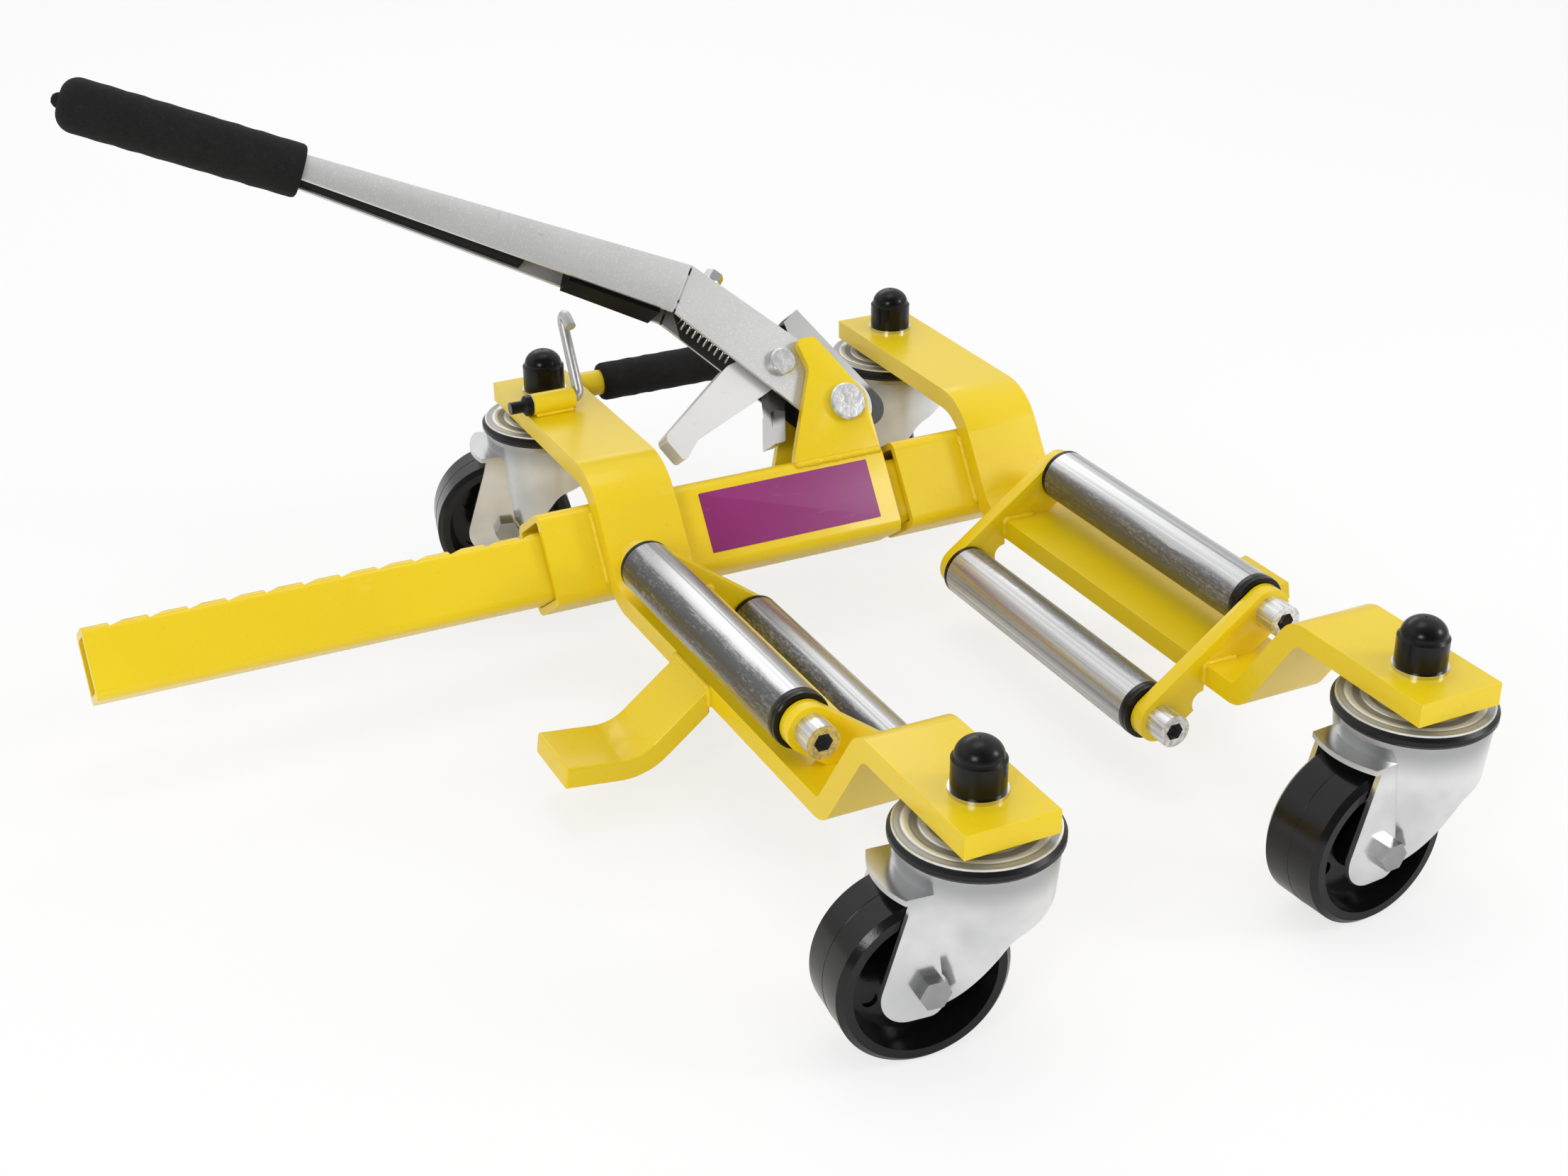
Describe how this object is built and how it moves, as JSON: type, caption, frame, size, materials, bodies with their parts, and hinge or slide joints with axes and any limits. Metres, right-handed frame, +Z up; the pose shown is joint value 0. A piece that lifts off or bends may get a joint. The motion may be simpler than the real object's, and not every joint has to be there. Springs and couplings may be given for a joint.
{
  "type": "vehicle positioning jack",
  "caption": "Wheel dolly of bent flat bars on swivel casters, with a ratchet lever and toothed slide that squeezes roller pairs under a tyre to lift it.",
  "frame": {"origin": "on the floor in the middle of the tyre cradle, halfway between the two closed frames", "axes": "+X along the slide towards the sliding frame, +Y towards the ratchet side, +Z up"},
  "size_m": [0.7019, 0.6548, 0.3552],
  "materials": {
    "frame_paint": "glossy yellow powder coat",
    "zinc": "bright zinc plate",
    "roller_steel": "streaky galvanised tube",
    "lever_steel": "satin grey steel",
    "black_plastic": "black moulded plastic",
    "black_rubber": "black rubber",
    "foam": "black foam sleeve",
    "wheel_plastic": "black moulded wheel"
  },
  "bodies": {
    "base": {"left_frame_bar": "frame_paint", "sleeve_tube": "frame_paint", "ear_front": "frame_paint", "ear_rear": "frame_paint", "left_bracket_front": "frame_paint", "left_bracket_rear": "frame_paint", "left_pedal": "frame_paint", "carry_handle_tube": "frame_paint", "carry_handle_grip": "foam", "hook_boss": "frame_paint", "pivot_pin": "zinc", "left_caster_stems": "zinc", "left_stem_caps": "black_plastic", "left_roller_screws": "zinc", "left_caster_races": "zinc", "left_caster_seals": "black_rubber"},
    "carriage": {"right_frame_bar": "frame_paint", "rack_tube": "frame_paint", "collar_tube": "frame_paint", "right_bracket_front": "frame_paint", "right_bracket_rear": "frame_paint", "right_pedal": "frame_paint", "right_caster_stems": "zinc", "right_stem_caps": "black_plastic", "right_roller_screws": "zinc", "right_caster_races": "zinc", "right_caster_seals": "black_rubber"},
    "lever": {"lever_channel": "lever_steel", "lever_screw": "zinc", "lever_grip": "foam", "lever_pad": "black_rubber", "lever_pin": "zinc", "trigger_spring": "zinc"},
    "pawl": {"release_trigger": "lever_steel", "drive_pawl": "lever_steel"},
    "catch": {"release_saddle": "lever_steel", "saddle_bumper": "black_rubber", "holding_pawl": "lever_steel"},
    "hook": {"hook_rod": "zinc", "hook_cap": "black_plastic"},
    "left_roller_high_body": {"left_roller_high": "roller_steel", "left_bushes_high": "black_plastic"},
    "left_roller_low_body": {"left_roller_low": "roller_steel", "left_bushes_low": "black_plastic"},
    "front_left_swivel": {"front_left_fork": "zinc", "front_left_axle": "zinc"},
    "front_left_roll": {"front_left_wheel": "wheel_plastic"},
    "rear_left_swivel": {"rear_left_fork": "frame_paint", "rear_left_axle": "frame_paint"},
    "rear_left_roll": {"rear_left_wheel": "wheel_plastic"},
    "right_roller_high_body": {"right_roller_high": "roller_steel", "right_bushes_high": "black_plastic"},
    "right_roller_low_body": {"right_roller_low": "roller_steel", "right_bushes_low": "black_plastic"},
    "front_right_swivel": {"front_right_fork": "zinc", "front_right_axle": "zinc"},
    "front_right_roll": {"front_right_wheel": "wheel_plastic"},
    "rear_right_swivel": {"rear_right_fork": "frame_paint", "rear_right_axle": "frame_paint"},
    "rear_right_roll": {"rear_right_wheel": "wheel_plastic"}
  },
  "joints": [
    {"name": "squeeze_slide", "type": "slide", "parent": "base", "child": "carriage", "axis": [1, 0, 0], "range_m": [0, 0.242]},
    {"name": "lever_pivot", "type": "hinge", "parent": "base", "child": "lever", "pos_m": [0.0308, 0.20773, 0.12344], "axis": [0, 0.8251, -0.565], "range_deg": [-20, 3]},
    {"name": "trigger_pivot", "type": "hinge", "parent": "lever", "child": "pawl", "pos_m": [-0.00241, 0.22715, 0.15181], "axis": [0, 0.8251, -0.565], "range_deg": [-4, 24]},
    {"name": "saddle_pivot", "type": "hinge", "parent": "base", "child": "catch", "pos_m": [0.0308, 0.20773, 0.12344], "axis": [0, 0.8251, -0.565], "range_deg": [-3, 16], "stiffness_Nm_per_rad": 6},
    {"name": "hook_pivot", "type": "hinge", "parent": "base", "child": "hook", "pos_m": [-0.1282, 0.2725, 0.1378], "axis": [1, 0, 0], "range_deg": [0, 80]},
    {"name": "left_roller_high_spin", "type": "hinge", "parent": "base", "child": "left_roller_high_body", "pos_m": [-0.144, 0, 0.0948], "axis": [0, 1, 0], "continuous": true},
    {"name": "left_roller_low_spin", "type": "hinge", "parent": "base", "child": "left_roller_low_body", "pos_m": [-0.0744, 0, 0.0429], "axis": [0, 1, 0], "continuous": true},
    {"name": "front_left_swivel_turn", "type": "hinge", "parent": "base", "child": "front_left_swivel", "pos_m": [-0.1282, -0.2413, 0], "axis": [0, 0, 1], "continuous": true},
    {"name": "front_left_wheel_spin", "type": "hinge", "parent": "front_left_swivel", "child": "front_left_roll", "pos_m": [-0.16038, -0.23854, 0.04445], "axis": [0.0854, 0.9963, 0], "continuous": true},
    {"name": "rear_left_swivel_turn", "type": "hinge", "parent": "base", "child": "rear_left_swivel", "pos_m": [-0.1282, 0.3091, 0], "axis": [0, 0, 1], "continuous": true},
    {"name": "rear_left_wheel_spin", "type": "hinge", "parent": "rear_left_swivel", "child": "rear_left_roll", "pos_m": [-0.15954, 0.31691, 0.04445], "axis": [0.2419, 0.9703, 0], "continuous": true},
    {"name": "right_roller_high_spin", "type": "hinge", "parent": "carriage", "child": "right_roller_high_body", "pos_m": [0.144, 0, 0.0948], "axis": [0, 1, 0], "continuous": true},
    {"name": "right_roller_low_spin", "type": "hinge", "parent": "carriage", "child": "right_roller_low_body", "pos_m": [0.0744, 0, 0.0429], "axis": [0, 1, 0], "continuous": true},
    {"name": "front_right_swivel_turn", "type": "hinge", "parent": "carriage", "child": "front_right_swivel", "pos_m": [0.1282, -0.2413, 0], "axis": [0, 0, 1], "continuous": true},
    {"name": "front_right_wheel_spin", "type": "hinge", "parent": "front_right_swivel", "child": "front_right_roll", "pos_m": [0.09601, -0.244, 0.04445], "axis": [-0.0837, 0.9965, 0], "continuous": true},
    {"name": "rear_right_swivel_turn", "type": "hinge", "parent": "carriage", "child": "rear_right_swivel", "pos_m": [0.1282, 0.3091, 0], "axis": [0, 0, 1], "continuous": true},
    {"name": "rear_right_wheel_spin", "type": "hinge", "parent": "rear_right_swivel", "child": "rear_right_roll", "pos_m": [0.09594, 0.30741, 0.04445], "axis": [-0.0523, 0.9986, 0], "continuous": true}
  ],
  "couplings": [
    {"joint": "trigger_pivot", "follows": "lever_pivot", "ratio": -1.15}
  ]
}
